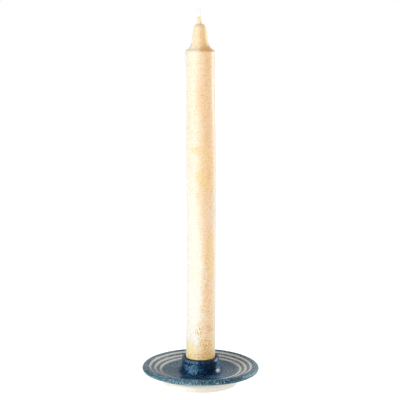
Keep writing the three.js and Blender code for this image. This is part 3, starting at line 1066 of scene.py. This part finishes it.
def make_pale_wax():
    """Pale dipped wax with cloudy patches, honey flecks and a satin, dimpled skin. Its colour also holds
    painted light on the front left, painted shade on the right and a painted shadow ring at its foot.
    """
    wax = Surface("pale_wax", 0.38)
    x, _, height = wax.axes()
    edge = wax.uneven(300, 1.6)
    # Painted light: broad patches on the front left of the coat are painted near white.
    painted_light_patches = wax.spots(PAINTED_LIGHT_SPOTS, edge)
    colour = pale_ground(wax, x, height)
    colour = wax.mix(wax.times(painted_light_patches, wax.fade(height, 55, 85, 0.85, 0.50)), colour, WAX_PAINTED_LIGHT)
    colour = wax.stained(colour, WAX_HONEY, 0.70, HONEY_SPOTS, edge)
    # Partly painted light: the butter spot is brighter than the wax, to make up for the saucer's shade.
    colour = wax.stained(colour, WAX_BUTTER, 0.80, BUTTER_SPOT, edge)
    at_foot = wax.times(wax.fade(height, 20.5, 29, 0.85, 0.0), wax.fade(x, -5, 5, 0.10, 1.0))
    colour = wax.mix(at_foot, colour, WAX_OCHRE)
    peppered = wax.ramp(painted_light_patches, 0, 1, 0.95, 0.35)
    colour = wax.flecked(colour, WAX_PEPPER, peppered, scale=640, size=0.46, share=0.42, blend="MULTIPLY")
    clusters = wax.mottle(patch=150, grain=500, contrast=4.0, share=0.5, level=0.40)
    dotted = wax.highest(
        wax.spots(DOT_SPOTS, edge),
        wax.fade(height, 21, 27, 1.0, 0.0),
        wax.times(wax.spots(FAINT_DOT_SPOTS, edge), 0.36),
    )
    dotted = wax.times(dotted, clusters)
    colour = wax.flecked(colour, WAX_BROWN, dotted, scale=820, size=0.50, share=0.85, blend="MULTIPLY")
    colour = wax.grained(colour, 1100, 0.07)
    # Painted shade: the right edge of the coat is darkened, most of all higher up.
    painted_right_shade = wax.times(wax.fade(x, 7.6, 9.8), wax.fade(height, 90, 140, 0.10, 0.18))
    colour = wax.toned(colour, wax.minus(1.0, painted_right_shade))
    # Painted shadow: a dark ring at the coat's foot, in the gap under the socket's lip.
    painted_foot_shadow = wax.times(
        wax.ramp(height, LIP_Z - 2.0 * MM, LIP_Z - 1.2 * MM),
        wax.ramp(height, LIP_Z - 0.3 * MM, LIP_Z + 0.2 * MM, 1.0, 0.0),
    )
    wax.give("Base Color", wax.mix(painted_foot_shadow, colour, WAX_PAINTED_SHADOW))
    soften(wax, weight=0.15, reach=(1.0, 0.5, 0.2), depth=0.5 * MM, sheen=0.3, sheen_roughness=0.35)
    wax.bump(wax.noise(wax.place, 520, 3.0, 0.6), 0.16 * MM)
    return wax.material


def add_rings(piece, count):
    """Cuts the long edges of a turned form into equal lengths, which gives it even rings."""
    select_only(piece)
    bpy.ops.object.mode_set(mode="EDIT")
    bpy.ops.mesh.select_mode(type="EDGE")
    bpy.ops.mesh.select_all(action="DESELECT")
    bpy.ops.object.mode_set(mode="OBJECT")
    for edge in piece.data.edges:
        low, high = [piece.data.vertices[i].co for i in edge.vertices]
        is_long = abs(low.z - high.z) > 50 * MM
        edge.select = is_long and low.xy.length > SHOULDER_RADIUS - 0.4 * MM
    bpy.ops.object.mode_set(mode="EDIT")
    bpy.ops.mesh.subdivide(number_cuts=count)
    bpy.ops.object.mode_set(mode="OBJECT")


pale_wax = make_pale_wax()
coat = throw("dipped_wax_coat", coat_shell_outline(), CANDLE_STEPS)
add_rings(coat, COAT_RINGS)
finish(coat, [dipped_skin, set_of_the_candle], pale_wax, "candle", "wax_coat")


# The wick is braided cotton. It runs from the candle's foot to its tip, and its cut end stands bare.
WICK_LOW, WICK_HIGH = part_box("wick")
PRIMER_LOW, PRIMER_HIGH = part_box("wick_primer")
WICK_RADIUS = WICK_HIGH.x
BRAID_PITCH = 2.6 * MM
BRAID_STRANDS = 4
BRAID_RELIEF = 0.16 * MM
BARE_FROM_Z = PRIMER_HIGH.z - 0.6 * MM
WICK_STEPS = 64
COTTON_WHITE = (0.96, 0.955, 0.93, 1)
COTTON_SHADE = (0.90, 0.89, 0.85, 1)


def braid(point, relief):
    """Two families of strands that wind opposite ways and pass over each other in turn."""
    radius, outward = from_axis(point)
    if radius < 0.2 * MM:
        return UNMOVED
    turn = math.atan2(point.y, point.x)
    rise = point.z / BRAID_PITCH * 2 * math.pi
    right_hand = math.cos(BRAID_STRANDS * turn + rise)
    left_hand = math.cos(BRAID_STRANDS * turn - rise)
    over = 0.5 + 0.5 * math.sin(rise / 2) * math.cos(2 * turn)
    return outward * relief * (max(right_hand * over, left_hand * (1 - over)) - 0.6)


def wick_outline():
    """The cotton from the candle's foot to its cut end, with close rings where it is bare."""
    top = (WICK_RADIUS, WICK_HIGH.z - 0.25 * MM)
    end = (WICK_RADIUS - 0.3 * MM, WICK_HIGH.z)
    return [
        (WICK_RADIUS, WICK_LOW.z),
        (WICK_RADIUS, PRIMER_LOW.z),
        *straight((WICK_RADIUS, BARE_FROM_Z), top, 16),
        *quarter(top, end, True, 3),
        (0.4 * MM, WICK_HIGH.z - 0.12 * MM),
    ]


def frayed_end(point):
    """The braid where the wick is bare, and a cut end that isn't quite level."""
    if point.z < BARE_FROM_Z:
        return UNMOVED
    near_end = ease(point.z, WICK_HIGH.z - 0.5 * MM, WICK_HIGH.z)
    uneven = noise.noise(Vector((point.x * 1900, point.y * 1900, 1.7))) * 0.25 * MM * near_end
    return braid(point, BRAID_RELIEF) + Vector((0, 0, uneven - 0.1 * MM * near_end))


def make_cotton():
    """Raw cotton: matt and off-white, with fibres a tenth of a millimetre thick."""
    cotton = Surface("cotton", 0.92)
    fibres = cotton.noise(cotton.stretched(0.25), 9000)
    shade = cotton.ramp(fibres, 0.35, 0.65)
    cotton.give("Base Color", cotton.mix(shade, COTTON_SHADE, COTTON_WHITE))
    cotton.give("Sheen Weight", 1.0)
    cotton.give("Sheen Roughness", 0.6)
    cotton.bump(fibres, 0.05 * MM)
    return cotton.material


wick = throw("cotton_wick", wick_outline(), WICK_STEPS)
finish(wick, [frayed_end, set_of_the_candle], make_cotton(), "candle", "wick")


# The wick's standing end is dipped in hard wax, so that it stays upright and lights at once. The wax is
# thin enough that the braid shows, white above, and stained golden where it meets the head.
PRIMER_FOOT_RADIUS = 1.8 * MM
PRIMER_TOP_RADIUS = 1.65 * MM
PRIMER_RINGS = 60
PRIMER_RELIEF = 0.08 * MM
PRIMER_UNEVEN = 0.08 * MM
PRIMER_WHITE = (0.99, 0.985, 0.935, 1)
PRIMER_YELLOW = (0.85, 0.72, 0.35, 1)
PRIMER_AMBER = (0.92, 0.76, 0.52, 1)


def primer_outline():
    """The hard wax from its foot on the head up to its rounded top, and back down inside."""
    inner_foot = (WICK_BORE_RADIUS, PRIMER_LOW.z)
    outer_foot = (PRIMER_FOOT_RADIUS, PRIMER_LOW.z)
    wall = straight(outer_foot, (PRIMER_TOP_RADIUS, BARE_FROM_Z), PRIMER_RINGS)
    inner_top = (WICK_BORE_RADIUS, PRIMER_HIGH.z)
    return [inner_foot, *wall, *quarter(wall[-1], inner_top, True, 5), inner_foot]


def waxed_braid(point):
    """The braid as it shows through the wax, and the wax's own uneven thickness."""
    radius, outward = from_axis(point)
    outside = ease(radius, WICK_BORE_RADIUS + 0.1 * MM, WICK_BORE_RADIUS + 0.3 * MM)
    thickness = PRIMER_UNEVEN * noise.noise(point * 500) + 0.04 * MM
    return (braid(point, PRIMER_RELIEF) + outward * thickness) * outside


def make_primer_wax():
    """Hard wax over cotton: white above, with a golden stain that rises from the head on one side."""
    wax = Surface("primer_wax", 0.35)
    x, _, height = wax.axes()
    level = wax.plus(height, wax.uneven(420, 3 * MM, detail=2.0))
    stain = wax.ramp(level, PRIMER_LOW.z + 4.6 * MM, PRIMER_LOW.z + 7.0 * MM, 1.0, 0.0)
    on_left = wax.fade(x, -0.9, 0.9, 1.0, 0.25)
    colour = wax.mix(wax.times(stain, on_left), PRIMER_WHITE, PRIMER_YELLOW)
    foot = wax.ramp(level, PRIMER_LOW.z + 1.4 * MM, PRIMER_LOW.z + 3.6 * MM, 0.9, 0.0)
    wax.give("Base Color", wax.mix(foot, colour, PRIMER_AMBER))
    soften(wax, weight=0.1, reach=(1.0, 1.0, 1.0), depth=0.5 * MM, sheen=1.0, sheen_roughness=0.6)
    wax.bump(wax.noise(wax.place, 3000), 0.04 * MM)
    return wax.material


primer = throw("hard_wax_primer", primer_outline(), WICK_STEPS)
finish(primer, [waxed_braid, set_of_the_candle], make_primer_wax(), "candle", "wick_primer")


# The table is plain and white, in a white room. It isn't part of the object.
FLOOR_SIZE = 12.0
FLOOR_WHITE = (0.95, 0.95, 0.95, 1)
FLOOR_GLOW = 0.52
FAR_FLOOR_GLOW = 0.65
FLOOR_GLOSS = 0.32
ROOM_LIGHT = 0.52
ROOM_GLOSS = 0.70
ROOM_DARK = 0.04


def make_floor():
    """A matt white floor that is seen as white where no shadow falls."""
    white = Surface("white_floor", 0.9)
    white.give("Base Color", FLOOR_WHITE)
    white.give("Specular IOR Level", 0.0)
    rays = white.node("LightPath").outputs
    strength = white.ramp(white.radius(), 0.15, 0.9, FLOOR_GLOW, FAR_FLOOR_GLOW)
    seen = white.times(rays["Is Camera Ray"], strength)
    mirrored = white.times(rays["Is Glossy Ray"], FLOOR_GLOSS)
    glow = white.node("Emission")
    white.feed(glow.inputs["Strength"], white.plus(seen, mirrored))
    both = white.node("AddShader", white.shader.outputs[0], glow.outputs[0]).outputs[0]
    white.feed(white.nodes["Material Output"].inputs["Surface"], both)
    return white.material


bpy.ops.mesh.primitive_plane_add(size=FLOOR_SIZE, location=(0, 0, 0))
floor = bpy.context.object
floor.name = "floor"
floor.data.materials.append(make_floor())

# The room is seen as white. In the glaze it is mirrored dark in front and light behind.
world = bpy.data.worlds.new("white_room")
bpy.context.scene.world = world
world.use_nodes = True
room = Recipe(world.node_tree)
rays = room.node("LightPath").outputs
direction = room.node("SeparateXYZ", room.node("TexCoord").outputs["Generated"]).outputs
behind = room.plus(direction["Y"], room.times(direction["X"], 0.3))
reflected = room.ramp(behind, 0.25, 0.95, ROOM_DARK, ROOM_GLOSS)
mirrored = room.times(rays["Is Glossy Ray"], room.minus(reflected, ROOM_LIGHT))
seen = room.times(rays["Is Camera Ray"], 1 - ROOM_LIGHT)
background = room.nodes["Background"]
room.feed(background.inputs["Strength"], room.plus(mirrored, seen, ROOM_LIGHT))
room.feed(background.inputs["Color"], (1, 1, 1, 1))


def softbox(name, place, aim, width, height, watts, mirrored=True):
    """A studio softbox at a place, turned to what it lights. Gloss shows it where it is mirrored."""
    light = bpy.data.lights.new(name, "AREA")
    light.shape = "RECTANGLE"
    light.size, light.size_y = width, height
    light.energy = watts
    lamp = bpy.data.objects.new(name, light)
    lamp.visible_glossy = mirrored
    lamp.location = place
    lamp.rotation_euler = (Vector(aim) - Vector(place)).to_track_quat("-Z", "Y").to_euler()
    bpy.context.scene.collection.objects.link(lamp)


AIM = (0, 0, 0.13)
LOW_AIM = (0, 0, 0.05)
softbox("key", (-0.90, -0.65, 0.45), AIM, width=0.75, height=0.85, watts=4.6)
softbox("rim", (0.85, 0.46, 0.26), AIM, width=0.48, height=0.75, watts=6.4)
softbox("fill", (-0.12, -1.30, 0.18), LOW_AIM, width=1.2, height=0.5, watts=6.2, mirrored=False)

bpy.context.scene.view_settings.view_transform = "Standard"
